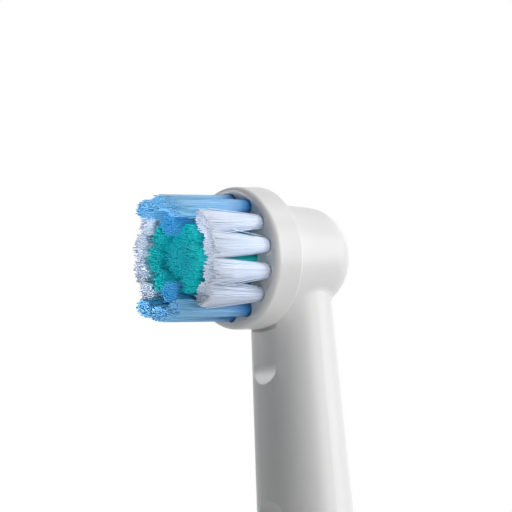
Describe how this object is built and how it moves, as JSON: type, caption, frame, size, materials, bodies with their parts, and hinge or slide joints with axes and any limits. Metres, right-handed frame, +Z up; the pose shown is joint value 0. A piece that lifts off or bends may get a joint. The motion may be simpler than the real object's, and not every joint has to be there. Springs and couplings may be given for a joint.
{
  "type": "electric toothbrush head",
  "caption": "Round oscillating toothbrush head: a tufted disc on a pivot in front of a tapering hollow neck, swung by a crank on a drive rod, with a socket in the foot for the handle.",
  "frame": {"origin": "centre of the mouth of the handle socket, on the plane that the foot stands on", "axes": "+Z up the neck along the drive shaft, -Y the way the bristles face, +X to the right seen from the bristles"},
  "size_m": [0.0142, 0.0232, 0.075],
  "materials": {
    "white_plastic": "smooth white moulded plastic with a soft gloss",
    "inner_plastic": "plain natural white moulding",
    "ring_blue": "coloured moulded plastic",
    "steel": "drawn and ground stainless steel",
    "anchor_brass": "stamped strip",
    "bristle_white": "clear white nylon filaments",
    "bristle_blue": "dyed nylon filaments",
    "bristle_green": "dyed nylon filaments"
  },
  "bodies": {
    "neck": {"neck_shell": "white_plastic", "base_insert": "inner_plastic", "marker_ring": "ring_blue", "pivot_pin": "steel", "retaining_pin": "steel"},
    "drive_shaft": {"drive_coupling": "inner_plastic", "grip_spring": "steel", "drive_rod": "steel", "crank": "steel"},
    "brush": {"brush_disc": "white_plastic", "disc_hub": "inner_plastic", "tuft_anchors": "anchor_brass", "centre_tuft_1": "bristle_green", "centre_tuft_2": "bristle_green", "centre_tuft_3": "bristle_green", "centre_tuft_4": "bristle_green", "green_tuft_1": "bristle_green", "green_tuft_2": "bristle_green", "green_tuft_3": "bristle_green", "green_tuft_4": "bristle_green", "green_tuft_5": "bristle_green", "green_tuft_6": "bristle_green", "inner_blue_tuft_1": "bristle_blue", "inner_blue_tuft_2": "bristle_blue", "outer_blue_tuft_1": "bristle_blue", "outer_blue_tuft_2": "bristle_blue", "outer_blue_tuft_3": "bristle_blue", "outer_blue_tuft_4": "bristle_blue", "outer_blue_tuft_5": "bristle_blue", "outer_blue_tuft_6": "bristle_blue", "white_tuft_1": "bristle_white", "white_tuft_2": "bristle_white", "white_tuft_3": "bristle_white", "white_tuft_4": "bristle_white", "white_tuft_5": "bristle_white", "white_tuft_6": "bristle_white", "white_tuft_7": "bristle_white", "white_tuft_8": "bristle_white"}
  },
  "joints": [
    {"name": "shaft_turn", "type": "hinge", "parent": "neck", "child": "drive_shaft", "pos_m": [0, 0, 0.03], "axis": [0, 0, 1], "range_deg": [-18.2, 30.7]},
    {"name": "disc_turn", "type": "hinge", "parent": "neck", "child": "brush", "pos_m": [0, 0, 0.068], "axis": [0, -1, 0], "range_deg": [-16.9, 28.1]}
  ],
  "couplings": [
    {"joint": "disc_turn", "follows": "shaft_turn", "ratio": 0.9}
  ]
}
